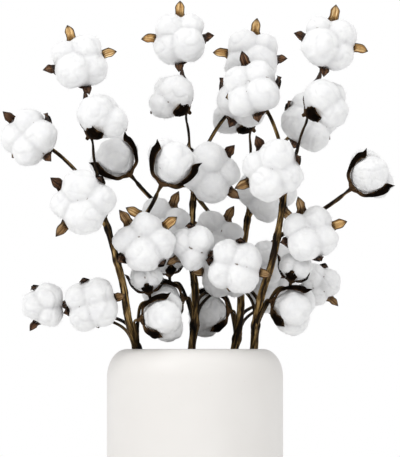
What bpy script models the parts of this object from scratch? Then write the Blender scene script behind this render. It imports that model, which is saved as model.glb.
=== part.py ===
"""Cotton stem bunch: four branching cotton stems standing in a round ceramic vase.

Metres, +Z up, the front faces -Y, and the origin is the centre of the vase's foot.
"""
import math
import random

import bmesh
import bpy
from mathutils import Vector

MM = 0.001
GAP = 0.3 * MM

# Vase: a turned wall of even thickness whose shoulder rolls in to a flat rim.
VASE_HEIGHT = 190 * MM
VASE_RADIUS = 88 * MM
VASE_WALL = 6 * MM
VASE_FLOOR = 8 * MM
SHOULDER_IN = 20 * MM
SHOULDER_DROP = 28 * MM
RIM_WIDTH = 1 * MM
FOOT_ROUND = 7 * MM
VASE_STEPS = 40

# One cotton boll, as shares of its radius. Its axis runs from the stalk to the open face.
LOCK_FORWARD = 0.08
LOCK_RADIUS = 0.58
CORE_BACK = 0.06
CORE_RADIUS = 0.66
COTTON_BACK = CORE_BACK + CORE_RADIUS
COTTON_AROUND = 16
COTTON_RINGS = (27, 52, 78, 108, 144)
LOCK_VARIATION = 0.04

# Burr: a cup on the stalk and pointed valves that lie in the creases between the locks.
CUP_RADIUS = 0.26
CUP_DEPTH = 4.0 * MM
CUP_INNER = 0.18
CUP_SPAN = 24
VALVE_BELLY = (0.66, -0.53)
VALVE_LIP = (0.935, 0.06)
VALVE_HALF_WIDTHS = (0.23, 0.155)
VALVE_INNER_RIDGE = 0.4 * MM
VALVE_OUTER_KEEL = 1.2 * MM
TIP_LENGTH = 0.42
SHORT = 120                    # added to a tip's bend where the valve is a short one
SHORT_LIP = (0.76, -0.25)
SHORT_TIP = 0.22
FLARE_VARIATION = 8
TURN_VARIATION = 5
SIZE_VARIATION = 0.03

# Stems
RIM_Z = VASE_HEIGHT
SPREAD_HEIGHT = 80 * MM
MAIN_SIDES = 7
TWIG_SIDES = 5
FOOT_RADIUS = 4.2 * MM
FOOT_LIFT = 6 * MM
MAIN_RADII = (4.0, 4.0, 3.8, 3.6, 3.4, 3.0, 2.4, 1.4, 1.1, 1.1)
STALK_RADIUS = 1.7 * MM
STALK_LENGTH = 6 * MM

# The stem every stem is grown from, in millimetres: across, up and back from where it leaves the vase.
MAIN = ((0, 0, 0), (1, 20, 0), (7, 55, 0), (15, 81, 0), (20, 107, 0), (25, 139, 0), (29, 166, 0),
        (38, 192, 0), (43, 212, -4), (47, 221, -10))

# Its bolls: centre, radius, the way the open face looks, the turn about that axis in degrees, each lock's
# size and how far it stands forward, how far each valve's tip is bent outwards in degrees, and the twig:
# the point of MAIN that it leaves, how thick it is, and the points that it passes on its way to the burr.
BOLLS = (
    dict(centre=(68, 300, 0), radius=30, face=(0.10, 0.15, -0.98), turn=-8,
         locks=((0.74, 0.0), (1.06, 0.14), (0.98, -0.06), (0.92, -0.04)), flare=(88, 40, 40, 98),
         leaves=7, thick=0.6,
         twig=((42, 207, 6), (46, 219, 14), (51, 236, 25), (59, 256, 31), (63, 290, 33))),
    dict(centre=(65, 240, -6), radius=27, face=(0.80, 0.45, -0.34), turn=116,
         locks=((1.0, 0.05), (1.0, 0.1), (1.12, 0.0)), flare=(170, 106, 30),
         leaves=9, thick=0.6, twig=()),
    dict(centre=(-7, 253, 4), radius=30, face=(-0.20, 0.20, -0.96), turn=20,
         locks=((0.86, 0.0), (0.92, 0.05), (0.94, 0.10), (0.90, 0.0)), flare=(40, 160, 40, 5),
         leaves=6, thick=1.1, twig=((25, 186, 6), (20, 205, 8), (10, 230, 18), (2, 243, 28))),
    dict(centre=(14, 171, -30), radius=31.5, face=(-0.05, 0.05, -1.00), turn=28,
         locks=((0.76, 0.0), (1.02, 0.04), (0.92, 0.0), (0.96, 0.08)), flare=(30, 55, 140, -15),
         leaves=5, thick=1.0, twig=((20, 158, -4),)),
    dict(centre=(110, 170, -8), radius=28, face=(0.78, 0.60, 0.05), turn=28,
         locks=((1.04, 0.0), (1.0, 0.0), (1.0, 0.0)), flare=(-12, -8, 40),
         leaves=4, thick=1.25, twig=((44, 122, 16), (62, 134, 14), (78, 145, 3))),
    dict(centre=(52, 111, -6), radius=30, face=(0.10, 0.10, -0.99), turn=15,
         locks=((0.76, 0.0), (1.0, 0.12), (0.94, 0.0), (0.86, -0.04)), flare=(55, 10, -10, 88),
         leaves=4, thick=1.0, twig=((34, 114, 12),)),
    dict(centre=(39, 79, 19), radius=18, face=(0.25, 0.90, -0.20), turn=30,
         locks=((1.0, 0.0), (1.0, 0.0), (1.0, 0.0), (1.0, 0.0)), flare=(30, 150, 150, 30),
         leaves=1, thick=1.0, twig=((14, 45, 4), (24, 58, 12))),
    dict(centre=(38, 37, -8), radius=27, face=(0.90, -0.30, -0.10), turn=28,
         locks=((1.04, 0.0), (1.0, 0.0), (1.0, 0.0)), flare=(-15, 140, 20),
         leaves=1, thick=1.0, twig=((8, 38, -3),)),
    dict(centre=(-21, 78, -2), radius=28.5, face=(-0.10, -0.05, -0.99), turn=-12,
         locks=((0.86, 0.0), (0.92, 0.0), (0.98, 0.08), (0.98, 0.0)), flare=(-15, -10, 150, 60),
         leaves=1, thick=1.0, twig=((2, 46, 10), (-12, 64, 26))),
    dict(centre=(-63, 97, 12), radius=23.5, face=(-0.20, 0.05, -0.97), turn=7,
         locks=((1.08, 0.0), (0.96, 0.0), (1.02, 0.06)), flare=(-20, 50, 0),
         leaves=1, thick=0.9, twig=((-2, 42, 18), (-24, 68, 30), (-44, 88, 26))),
)

# How each stem stands: where it leaves the rim (across, back, above the rim), how far back its branches
# lie, its lean to the left in degrees, which side it branches to, and where its foot rests.
STEMS = (
    dict(number=1, root=(-50, -9, -18), branches_at=-60, lean=24.9, side=1, foot=(12, -9)),
    dict(number=2, root=(-3, 2, 4), branches_at=6, lean=10.5, side=-1, foot=(-6, 2)),
    dict(number=3, root=(37.5, 38, -9), branches_at=72, lean=16.6, side=-1, foot=(24, 38)),
    dict(number=4, root=(59, -8, 3), branches_at=-60, lean=-1.0, side=1, foot=(44, -8)),
)


def make_material(name, colour, roughness, metallic=0.0):
    material = bpy.data.materials.new(name)
    material.use_nodes = True
    shader = material.node_tree.nodes["Principled BSDF"]
    shader.inputs["Base Color"].default_value = (*colour, 1.0)
    shader.inputs["Roughness"].default_value = roughness
    shader.inputs["Metallic"].default_value = metallic
    material.diffuse_color = (*colour, 1.0)
    return material


def add_object(name, mesh, material, smooth_angle=40):
    mesh.materials.clear()
    mesh.materials.append(material)
    mesh.shade_smooth()
    mesh.set_sharp_from_angle(angle=math.radians(smooth_angle))
    made = bpy.data.objects.new(name, mesh)
    bpy.context.scene.collection.objects.link(made)
    return made


def mesh_from(name, vertices, faces):
    """A closed mesh with its faces pointing out, whichever way round they were listed."""
    builder = bmesh.new()
    points = [builder.verts.new(vertex) for vertex in vertices]
    for face in faces:
        builder.faces.new([points[index] for index in face])
    bmesh.ops.recalc_face_normals(builder, faces=builder.faces[:])
    if builder.calc_volume(signed=True) < 0:
        bmesh.ops.reverse_faces(builder, faces=builder.faces[:])
    bmesh.ops.triangulate(builder, faces=builder.faces[:])
    mesh = bpy.data.meshes.new(name)
    builder.to_mesh(mesh)
    builder.free()
    return mesh


# ---- vase --------------------------------------------------------------------------------------------

def arc(centre, radii, start, end, steps):
    """Points of an elliptical arc in the (radius, height) plane, angles in degrees from +radius."""
    angles = [math.radians(start + (end - start) * step / steps) for step in range(steps + 1)]
    return [(centre[0] + radii[0] * math.cos(a), centre[1] + radii[1] * math.sin(a)) for a in angles]


def vase_profile():
    """The wall's outline from the centre of the foot, up the outside, and down the inside."""
    shoulder = (VASE_RADIUS - SHOULDER_IN, VASE_HEIGHT - SHOULDER_DROP)
    inner_floor = VASE_RADIUS - VASE_WALL - FOOT_ROUND
    foot = (VASE_RADIUS - FOOT_ROUND, FOOT_ROUND)
    outside = arc(foot, (FOOT_ROUND, FOOT_ROUND), -90, 0, 2)
    outside += arc(shoulder, (SHOULDER_IN, SHOULDER_DROP), 0, 90, 5)
    rim_round = (shoulder[0] - RIM_WIDTH, VASE_HEIGHT - VASE_WALL / 2)
    rim = arc(rim_round, (VASE_WALL / 2, VASE_WALL / 2), 90, 270, 2)
    inner_in = (SHOULDER_IN - VASE_WALL, SHOULDER_DROP - VASE_WALL)
    inside = arc(shoulder, inner_in, 70, 0, 2)
    inside += arc((inner_floor, VASE_FLOOR + FOOT_ROUND), (FOOT_ROUND, FOOT_ROUND), 0, -90, 1)
    return outside + rim + inside


def build_vase(material):
    profile = vase_profile()
    turns = [math.tau * step / VASE_STEPS for step in range(VASE_STEPS)]
    vertices = [(r * math.cos(t), r * math.sin(t), z) for r, z in profile for t in turns]
    rows = len(profile)
    faces = []
    for row in range(rows - 1):
        for step in range(VASE_STEPS):
            beside = (step + 1) % VASE_STEPS
            low, high = row * VASE_STEPS, (row + 1) * VASE_STEPS
            faces.append((low + step, low + beside, high + beside, high + step))
    faces.append(tuple(range(VASE_STEPS)))
    faces.append(tuple((rows - 1) * VASE_STEPS + step for step in range(VASE_STEPS)))
    return add_object("vase", mesh_from("vase", vertices, faces), material)


# ---- placing a stem's points -------------------------------------------------------------------------

def bolls_of(stem):
    """The common bolls as this stem grew them: each a little turned, larger or smaller."""
    grown = []
    for index, boll in enumerate(BOLLS):
        draw = random.Random(100 * stem["number"] + index)
        size = boll["radius"] * (1 + draw.uniform(-SIZE_VARIATION, SIZE_VARIATION))
        turn = boll["turn"] + draw.uniform(-TURN_VARIATION, TURN_VARIATION)
        flare = [bend + draw.uniform(-FLARE_VARIATION, FLARE_VARIATION) for bend in boll["flare"]]
        grown.append(dict(boll, radius=size, turn=turn, flare=flare))
    return grown


def place_direction(stem, across, up, back):
    lean = math.radians(stem["lean"])
    leaned = across * math.cos(lean) - up * math.sin(lean)
    raised = across * math.sin(lean) + up * math.cos(lean)
    return Vector((stem["side"] * leaned, back, raised))


def place_point(stem, point):
    """A point of the common stem, in millimetres, as a world point on this stem."""
    offset = place_direction(stem, *point) * MM
    root_across, root_back, root_up = (value * MM for value in stem["root"])
    share = min(1.0, max(0.0, offset.z / SPREAD_HEIGHT))
    spread = (stem["branches_at"] * MM - root_back) * share * share * (3 - 2 * share)
    return Vector((root_across, root_back + spread, RIM_Z + root_up)) + offset


def boll_frame(stem, boll):
    """Centre, radius and the boll's own axes in the world: open face, up and side."""
    face = Vector(boll["face"]).normalized()
    up = Vector((0, 1, 0))
    up = (up - face * up.dot(face)).normalized()
    side = up.cross(face)
    turn = math.radians(boll["turn"])
    turned_up = up * math.cos(turn) + side * math.sin(turn)
    turned_side = side * math.cos(turn) - up * math.sin(turn)
    axes = [place_direction(stem, *axis) for axis in (face, turned_up, turned_side)]
    return place_point(stem, boll["centre"]), boll["radius"] * MM, axes


def boll_point(frame, around, out, forward):
    """A point of a boll, in metres from its axis and along it, at an angle round the axis."""
    centre, _, (face, up, side) = frame
    return centre + face * forward + (up * math.cos(around) + side * math.sin(around)) * out


# ---- cotton ------------------------------------------------------------------------------------------

def sphere_reach(direction, centre, radius):
    """Where a ray from the origin leaves a sphere, or 0 if it misses it."""
    along = direction.dot(centre)
    under_root = along * along - centre.dot(centre) + radius * radius
    return along + math.sqrt(under_root) if under_root > 0 else 0.0


def lock_spheres(locks, draw):
    """Puffy locks round the axis and a core between them, in shares of the boll's radius."""
    spheres = [(Vector((0, 0, -CORE_BACK)), CORE_RADIUS)]
    for lock, (size, raised) in enumerate(locks):
        around = math.tau * (lock + 0.5) / len(locks)
        radius = LOCK_RADIUS * size * (1 + draw.uniform(-LOCK_VARIATION, LOCK_VARIATION))
        forward = LOCK_FORWARD + raised + draw.uniform(-LOCK_VARIATION, LOCK_VARIATION)
        out = 1 - radius
        spheres.append((Vector((out * math.cos(around), out * math.sin(around), forward)), radius))
    return spheres


def build_cotton(name, frame, locks, draw, material):
    spheres = lock_spheres(locks, draw)
    radius = frame[1]
    vertices = []
    for polar in (math.radians(angle) for angle in COTTON_RINGS):
        for step in range(COTTON_AROUND):
            around = math.tau * step / COTTON_AROUND
            flat = math.sin(polar)
            direction = Vector((flat * math.cos(around), flat * math.sin(around), math.cos(polar)))
            reach = radius * max(sphere_reach(direction, *sphere) for sphere in spheres)
            vertices.append(boll_point(frame, around, reach * flat, reach * math.cos(polar)))
    front = radius * max(sphere_reach(Vector((0, 0, 1)), *sphere) for sphere in spheres)
    vertices.append(boll_point(frame, 0, 0, front))
    vertices.append(boll_point(frame, 0, 0, -radius * COTTON_BACK))
    faces = []
    last = (len(COTTON_RINGS) - 1) * COTTON_AROUND
    for step in range(COTTON_AROUND):
        beside = (step + 1) % COTTON_AROUND
        faces.append((len(vertices) - 2, step, beside))
        faces.append((len(vertices) - 1, last + beside, last + step))
        for low in range(0, last, COTTON_AROUND):
            high = low + COTTON_AROUND
            faces.append((low + step, high + step, high + beside, low + beside))
    return add_object(name, mesh_from(name, vertices, faces), material, 80)


# ---- stems, twigs and burrs --------------------------------------------------------------------------

def loft(rings):
    """Vertices and faces of a closed body through rings of equal size, with flat ends."""
    size = len(rings[0])
    last = (len(rings) - 1) * size
    vertices = [point for ring in rings for point in ring]
    faces = [tuple(range(size)), tuple(last + step for step in range(size))]
    for low in range(0, last, size):
        for step in range(size):
            beside = (step + 1) % size
            faces.append((low + step, low + beside, low + size + beside, low + size + step))
    return vertices, faces


def tube(points, radii, sides):
    """A closed round rod along points, its rings carried on without twisting."""
    rings = []
    across = Vector((1, 0.13, 0.07))
    for index, (point, radius) in enumerate(zip(points, radii)):
        before, after = points[max(index - 1, 0)], points[min(index + 1, len(points) - 1)]
        along = (after - before).normalized()
        across = (across - along * across.dot(along)).normalized()
        other = along.cross(across)
        angles = [math.tau * step / sides for step in range(sides)]
        rings.append([point + (across * math.cos(a) + other * math.sin(a)) * radius for a in angles])
    return loft(rings)


def main_stem(stem, bolls):
    """The rod from the vase's floor up to the burr of the boll that has no twig of its own."""
    foot = Vector((stem["foot"][0] * MM, stem["foot"][1] * MM, VASE_FLOOR + GAP))
    points = [foot, foot + Vector((0, 0, FOOT_LIFT))]
    points += [place_point(stem, point) for point in MAIN]
    radii = [FOOT_RADIUS] * 2 + [radius * MM for radius in MAIN_RADII]
    end = next(boll for boll in bolls if not boll["twig"])
    points.append(boll_base(boll_frame(stem, end)))
    radii.append(STALK_RADIUS * end["thick"])
    return tube(points, radii, MAIN_SIDES)


def boll_base(frame):
    """The middle of the burr's cup."""
    return boll_point(frame, 0, 0, -frame[1] * COTTON_BACK - GAP - CUP_DEPTH / 2)


def twig(stem, boll):
    frame = boll_frame(stem, boll)
    base = boll_base(frame)
    behind = base - frame[2][0] * STALK_LENGTH
    points = [place_point(stem, MAIN[boll["leaves"]])]
    points += [place_point(stem, point) for point in boll["twig"]]
    points += [behind, base]
    first = MAIN_RADII[boll["leaves"]] * MM * 0.6
    radii = [first] + [STALK_RADIUS * boll["thick"]] * (len(points) - 1)
    return tube(points, radii, TWIG_SIDES)


def valve_rings(frame, around, flare):
    """The belly and lip sections of one keeled valve, each left, inside, right and keel, and its tip."""
    radius = frame[1]
    root = (CUP_RADIUS * radius, -radius * COTTON_BACK - GAP)
    belly = (VALVE_BELLY[0] * radius, VALVE_BELLY[1] * radius)
    short = flare > SHORT
    lip = tuple(share * radius for share in (SHORT_LIP if short else VALVE_LIP))
    length = (SHORT_TIP if short else TIP_LENGTH) * radius
    bend = math.radians(flare - SHORT if short else flare)
    tip = (lip[0] + length * math.sin(bend), lip[1] + length * math.cos(bend))
    rings = []
    for before, (out, forward), after, share in ((root, belly, lip, VALVE_HALF_WIDTHS[0]),
                                                 (belly, lip, tip, VALVE_HALF_WIDTHS[1])):
        along = Vector((after[0] - before[0], after[1] - before[1])).normalized()
        half = share * radius
        turn = math.atan2(half, out)
        wide = math.hypot(half, out)
        inner = boll_point(frame, around, out - along.y * VALVE_INNER_RIDGE,
                           forward + along.x * VALVE_INNER_RIDGE)
        keel = boll_point(frame, around, out + along.y * VALVE_OUTER_KEEL,
                          forward - along.x * VALVE_OUTER_KEEL)
        left = boll_point(frame, around - turn, wide, forward)
        right = boll_point(frame, around + turn, wide, forward)
        rings.append((left, inner, right, keel))
    return rings, boll_point(frame, around, *tip)


def burr(frame, flares):
    """The dry burr in one body: a cup that widens from the stalk, and pointed valves on its edge."""
    radius = frame[1]
    seat = -radius * COTTON_BACK - GAP
    span = math.radians(CUP_SPAN)
    vertices = []
    faces = []
    low, high = [], []
    for number, flare in enumerate(flares):
        around = math.tau * number / len(flares)
        root = (boll_point(frame, around - span, radius * CUP_RADIUS, seat),
                boll_point(frame, around, radius * CUP_INNER, seat),
                boll_point(frame, around + span, radius * CUP_RADIUS, seat),
                boll_point(frame, around, radius * CUP_RADIUS * 1.1, seat))
        rings, tip = valve_rings(frame, around, flare)
        start = len(vertices)
        for ring in (root, *rings):
            vertices += ring
        vertices.append(tip)
        for base in (start, start + 4):
            for step in range(4):
                beside = (step + 1) % 4
                faces.append((base + step, base + beside, base + 4 + beside, base + 4 + step))
        last = start + 8
        faces += [(last + step, last + (step + 1) % 4, last + 4) for step in range(4)]
        high.append((start, start + 3, start + 2))
        for turn in (around - span, around + span):
            low.append(len(vertices))
            vertices.append(boll_point(frame, turn, STALK_RADIUS * 1.3, seat - CUP_DEPTH))
    seat_loop = []
    for number, (left, keel, right) in enumerate(high):
        seat_loop += [left, left + 1, right]
        here, there = low[2 * number], low[2 * number + 1]
        after = (number + 1) % len(flares)
        faces += [(here, there, keel), (here, keel, left), (there, right, keel)]
        faces.append((there, low[2 * after], high[after][0], right))
    faces.append(tuple(seat_loop))
    faces.append(tuple(low))
    return vertices, faces


def build_stem(stem, bolls, material):
    """One woody stem with its twigs and burrs, joined in one body by a Boolean union."""
    name = "stem_%d" % stem["number"]
    shapes = []
    for boll in bolls:
        shapes.append(burr(boll_frame(stem, boll), boll["flare"]))
        if boll["twig"]:
            shapes.append(twig(stem, boll))
    joined = add_object(name, mesh_from(name, *main_stem(stem, bolls)), material)
    pieces = bpy.data.collections.new(name + "_pieces")
    bpy.context.scene.collection.children.link(pieces)
    for index, shape in enumerate(shapes):
        piece = bpy.data.objects.new("%s_piece_%d" % (name, index), mesh_from("piece", *shape))
        pieces.objects.link(piece)
    union = joined.modifiers.new("union", "BOOLEAN")
    union.operation = "UNION"
    union.operand_type = "COLLECTION"
    union.collection = pieces
    union.solver = "MANIFOLD"
    bpy.context.view_layer.update()
    graph = bpy.context.evaluated_depsgraph_get()
    whole = bpy.data.meshes.new_from_object(joined.evaluated_get(graph))
    joined.modifiers.clear()
    joined.data = whole
    for piece in list(pieces.objects):
        bpy.data.objects.remove(piece)
    bpy.data.collections.remove(pieces)
    return joined


def main():
    for old in list(bpy.data.objects):
        bpy.data.objects.remove(old)
    glaze = make_material("vase_glaze", (0.86, 0.85, 0.83), 0.35)
    wood = make_material("stem_wood", (0.16, 0.10, 0.04), 0.7)
    cotton = make_material("cotton", (0.92, 0.92, 0.92), 0.95)
    build_vase(glaze)
    for stem in STEMS:
        bolls = bolls_of(stem)
        build_stem(stem, bolls, wood)
        for index, boll in enumerate(bolls):
            draw = random.Random(1000 + 100 * stem["number"] + index)
            name = "cotton_%d_%02d" % (stem["number"], index + 1)
            build_cotton(name, boll_frame(stem, boll), boll["locks"], draw, cotton)


main()
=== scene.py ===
"""Looks of the cotton stem bunch: fluffy bolls in open burrs on woody stems, standing in a glazed vase.

Metres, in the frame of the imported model: +Z up, the front faces -Y, the origin is the middle of the
vase's foot. Every stem, burr and boll is worked out from the same layout as the model's own solids.
"""
import math
import random

import bmesh
import bpy
import numpy as np
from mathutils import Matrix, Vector, noise


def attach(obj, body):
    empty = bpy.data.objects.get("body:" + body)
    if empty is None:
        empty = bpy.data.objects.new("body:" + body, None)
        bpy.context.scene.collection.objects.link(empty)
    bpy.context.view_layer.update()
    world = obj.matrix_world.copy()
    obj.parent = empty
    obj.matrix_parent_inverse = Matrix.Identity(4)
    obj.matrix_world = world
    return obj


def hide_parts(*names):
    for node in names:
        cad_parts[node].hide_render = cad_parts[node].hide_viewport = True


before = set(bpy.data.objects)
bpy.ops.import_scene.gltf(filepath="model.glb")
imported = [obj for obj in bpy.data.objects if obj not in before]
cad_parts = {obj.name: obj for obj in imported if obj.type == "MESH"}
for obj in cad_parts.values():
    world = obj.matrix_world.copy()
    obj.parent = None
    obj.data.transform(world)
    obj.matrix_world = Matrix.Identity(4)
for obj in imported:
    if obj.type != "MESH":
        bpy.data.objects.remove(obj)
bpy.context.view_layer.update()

MM = 0.001
GAP = 0.3 * MM                 # between cotton and burr, and between a stem's foot and the vase

# ---- the layout, as in the model ----------------------------------------------------------------------

VASE_HEIGHT = 190 * MM
VASE_RADIUS = 88 * MM
VASE_WALL = 6 * MM
VASE_FLOOR = 8 * MM
SHOULDER_IN = 20 * MM
SHOULDER_DROP = 28 * MM
RIM_WIDTH = 1 * MM
FOOT_ROUND = 7 * MM

LOCK_FORWARD = 0.08
LOCK_RADIUS = 0.58
CORE_BACK = 0.06
CORE_RADIUS = 0.66
COTTON_BACK = CORE_BACK + CORE_RADIUS
LOCK_VARIATION = 0.04

CUP_RADIUS = 0.26
CUP_DEPTH = 4.0 * MM
VALVE_BELLY = (0.66, -0.53)
VALVE_LIP = (0.935, 0.06)
TIP_LENGTH = 0.42
SHORT = 120                    # added to a tip's bend where the valve is a short one
SHORT_LIP = (0.76, -0.25)
SHORT_TIP = 0.22
FLARE_VARIATION = 8
TURN_VARIATION = 5
SIZE_VARIATION = 0.03

RIM_Z = VASE_HEIGHT
SPREAD_HEIGHT = 80 * MM        # over which a stem comes to the depth at which its branches lie
FOOT_RADIUS = 4.2 * MM
FOOT_LIFT = 6 * MM             # how far a stem stands straight up from its foot
MAIN_RADII = (4.0, 4.0, 3.8, 3.6, 3.4, 3.0, 2.4, 1.4, 1.1, 1.1)
STALK_RADIUS = 1.7 * MM
STALK_LENGTH = 6 * MM
TWIG_START = 0.6               # a twig's first radius, in shares of the main stem's there

# The stem every stem is grown from, in millimetres: across, up and back from where it leaves the vase.
MAIN = ((0, 0, 0), (1, 20, 0), (7, 55, 0), (15, 81, 0), (20, 107, 0), (25, 139, 0), (29, 166, 0),
        (38, 192, 0), (43, 212, -4), (47, 221, -10))

# Its bolls: centre, radius, the way the open face looks, the turn about that axis in degrees, each lock's
# size and how far it stands forward, how far each valve's tip is bent outwards in degrees, and the twig:
# the point of MAIN that it leaves, how thick it is, and the points that it passes on its way to the burr.
BOLLS = (
    dict(centre=(68, 300, 0), radius=30, face=(0.10, 0.15, -0.98), turn=-8,
         locks=((0.74, 0.0), (1.06, 0.14), (0.98, -0.06), (0.92, -0.04)), flare=(88, 40, 40, 98),
         leaves=7, thick=0.6,
         twig=((42, 207, 6), (46, 219, 14), (51, 236, 25), (59, 256, 31), (63, 290, 33))),
    dict(centre=(65, 240, -6), radius=27, face=(0.80, 0.45, -0.34), turn=116,
         locks=((1.0, 0.05), (1.0, 0.1), (1.12, 0.0)), flare=(170, 106, 30),
         leaves=9, thick=0.6, twig=()),
    dict(centre=(-7, 253, 4), radius=30, face=(-0.20, 0.20, -0.96), turn=20,
         locks=((0.86, 0.0), (0.92, 0.05), (0.94, 0.10), (0.90, 0.0)), flare=(40, 160, 40, 5),
         leaves=6, thick=1.1, twig=((25, 186, 6), (20, 205, 8), (10, 230, 18), (2, 243, 28))),
    dict(centre=(14, 171, -30), radius=31.5, face=(-0.05, 0.05, -1.00), turn=28,
         locks=((0.76, 0.0), (1.02, 0.04), (0.92, 0.0), (0.96, 0.08)), flare=(30, 55, 140, -15),
         leaves=5, thick=1.0, twig=((20, 158, -4),)),
    dict(centre=(110, 170, -8), radius=28, face=(0.78, 0.60, 0.05), turn=28,
         locks=((1.04, 0.0), (1.0, 0.0), (1.0, 0.0)), flare=(-12, -8, 40),
         leaves=4, thick=1.25, twig=((44, 122, 16), (62, 134, 14), (78, 145, 3))),
    dict(centre=(52, 111, -6), radius=30, face=(0.10, 0.10, -0.99), turn=15,
         locks=((0.76, 0.0), (1.0, 0.12), (0.94, 0.0), (0.86, -0.04)), flare=(55, 10, -10, 88),
         leaves=4, thick=1.0, twig=((34, 114, 12),)),
    dict(centre=(39, 79, 19), radius=18, face=(0.25, 0.90, -0.20), turn=30,
         locks=((1.0, 0.0), (1.0, 0.0), (1.0, 0.0), (1.0, 0.0)), flare=(30, 150, 150, 30),
         leaves=1, thick=1.0, twig=((14, 45, 4), (24, 58, 12))),
    dict(centre=(38, 37, -8), radius=27, face=(0.90, -0.30, -0.10), turn=28,
         locks=((1.04, 0.0), (1.0, 0.0), (1.0, 0.0)), flare=(-15, 140, 20),
         leaves=1, thick=1.0, twig=((8, 38, -3),)),
    dict(centre=(-21, 78, -2), radius=28.5, face=(-0.10, -0.05, -0.99), turn=-12,
         locks=((0.86, 0.0), (0.92, 0.0), (0.98, 0.08), (0.98, 0.0)), flare=(-15, -10, 150, 60),
         leaves=1, thick=1.0, twig=((2, 46, 10), (-12, 64, 26))),
    dict(centre=(-63, 97, 12), radius=23.5, face=(-0.20, 0.05, -0.97), turn=7,
         locks=((1.08, 0.0), (0.96, 0.0), (1.02, 0.06)), flare=(-20, 50, 0),
         leaves=1, thick=0.9, twig=((-2, 42, 18), (-24, 68, 30), (-44, 88, 26))),
)

# How each stem stands: where it leaves the rim (across, back, above the rim), how far back its branches
# lie, its lean to the left in degrees, which side it branches to, and where its foot rests.
STEMS = (
    dict(number=1, root=(-50, -9, -18), branches_at=-60, lean=24.9, side=1, foot=(12, -9)),
    dict(number=2, root=(-3, 2, 4), branches_at=6, lean=10.5, side=-1, foot=(-6, 2)),
    dict(number=3, root=(37.5, 38, -9), branches_at=72, lean=16.6, side=-1, foot=(24, 38)),
    dict(number=4, root=(59, -8, 3), branches_at=-60, lean=-1.0, side=1, foot=(44, -8)),
)


def clamped(value):
    """A value held between 0 and 1."""
    return min(1.0, max(0.0, value))


def bell(distance, spread):
    """1 at no distance, falling away smoothly over the spread."""
    return math.exp(-(distance / spread) ** 2)


def bolls_of(stem):
    """The common bolls as this stem grew them: each a little turned, larger or smaller."""
    grown = []
    for index, boll in enumerate(BOLLS):
        draw = random.Random(100 * stem["number"] + index)
        size = boll["radius"] * (1 + draw.uniform(-SIZE_VARIATION, SIZE_VARIATION))
        turn = boll["turn"] + draw.uniform(-TURN_VARIATION, TURN_VARIATION)
        flare = [bend + draw.uniform(-FLARE_VARIATION, FLARE_VARIATION) for bend in boll["flare"]]
        grown.append(dict(boll, radius=size, turn=turn, flare=flare))
    return grown


def place_direction(stem, across, up, back):
    """A direction of the common stem as this stem leans, mirrored where it branches the other way."""
    lean = math.radians(stem["lean"])
    leaned = across * math.cos(lean) - up * math.sin(lean)
    raised = across * math.sin(lean) + up * math.cos(lean)
    return Vector((stem["side"] * leaned, back, raised))


def place_point(stem, point):
    """A point of the common stem, in millimetres, as a world point on this stem."""
    offset = place_direction(stem, *point) * MM
    root_across, root_back, root_up = (value * MM for value in stem["root"])
    share = clamped(offset.z / SPREAD_HEIGHT)
    spread = (stem["branches_at"] * MM - root_back) * share * share * (3 - 2 * share)
    return Vector((root_across, root_back + spread, RIM_Z + root_up)) + offset


def boll_frame(stem, boll):
    """Centre, radius and the boll's own axes in the world: open face, up and side."""
    face = Vector(boll["face"]).normalized()
    up = Vector((0, 1, 0))
    up = (up - face * up.dot(face)).normalized()
    side = up.cross(face)
    turn = math.radians(boll["turn"])
    turned_up = up * math.cos(turn) + side * math.sin(turn)
    turned_side = side * math.cos(turn) - up * math.sin(turn)
    axes = [place_direction(stem, *axis) for axis in (face, turned_up, turned_side)]
    return place_point(stem, boll["centre"]), boll["radius"] * MM, axes


def boll_point(place, around, out, forward):
    """A point of a boll, in metres from its axis and along it, at an angle round the axis."""
    centre, _, (face, up, side) = place
    return centre + face * forward + (up * math.cos(around) + side * math.sin(around)) * out


def boll_base(place):
    """The middle of the burr's cup."""
    return boll_point(place, 0, 0, -place[1] * COTTON_BACK - GAP - CUP_DEPTH / 2)


def lock_spheres(locks, draw):
    """Puffy locks round the axis and a core between them, in shares of the boll's radius."""
    spheres = [(Vector((0, 0, -CORE_BACK)), CORE_RADIUS)]
    for lock, (size, raised) in enumerate(locks):
        around = math.tau * (lock + 0.5) / len(locks)
        radius = LOCK_RADIUS * size * (1 + draw.uniform(-LOCK_VARIATION, LOCK_VARIATION))
        forward = LOCK_FORWARD + raised + draw.uniform(-LOCK_VARIATION, LOCK_VARIATION)
        out = 1 - radius
        spheres.append((Vector((out * math.cos(around), out * math.sin(around), forward)), radius))
    return spheres


# ---- materials ----------------------------------------------------------------------------------------

def add_node(tree, kind, inputs=None, **settings):
    """A shader node with its settings, and its inputs given as numbers or as the sockets that feed them."""
    made = tree.nodes.new("ShaderNode" + kind)
    for name, value in settings.items():
        setattr(made, name, value)
    for name, value in (inputs or {}).items():
        if isinstance(value, bpy.types.NodeSocket):
            tree.links.new(value, made.inputs[name])
        else:
            made.inputs[name].default_value = value
    return made


def ramp(tree, factor, *stops):
    """A colour ramp over (position, colour) stops, a colour being a grey number or three numbers."""
    made = add_node(tree, "ValToRGB", {"Fac": factor})
    elements = made.color_ramp.elements
    while len(elements) < len(stops):
        elements.new(1.0)
    for element, (position, colour) in zip(elements, stops):
        element.position = position
        element.color = (*colour, 1.0) if isinstance(colour, tuple) else (colour,) * 3 + (1.0,)
    return made.outputs["Color"]


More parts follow.
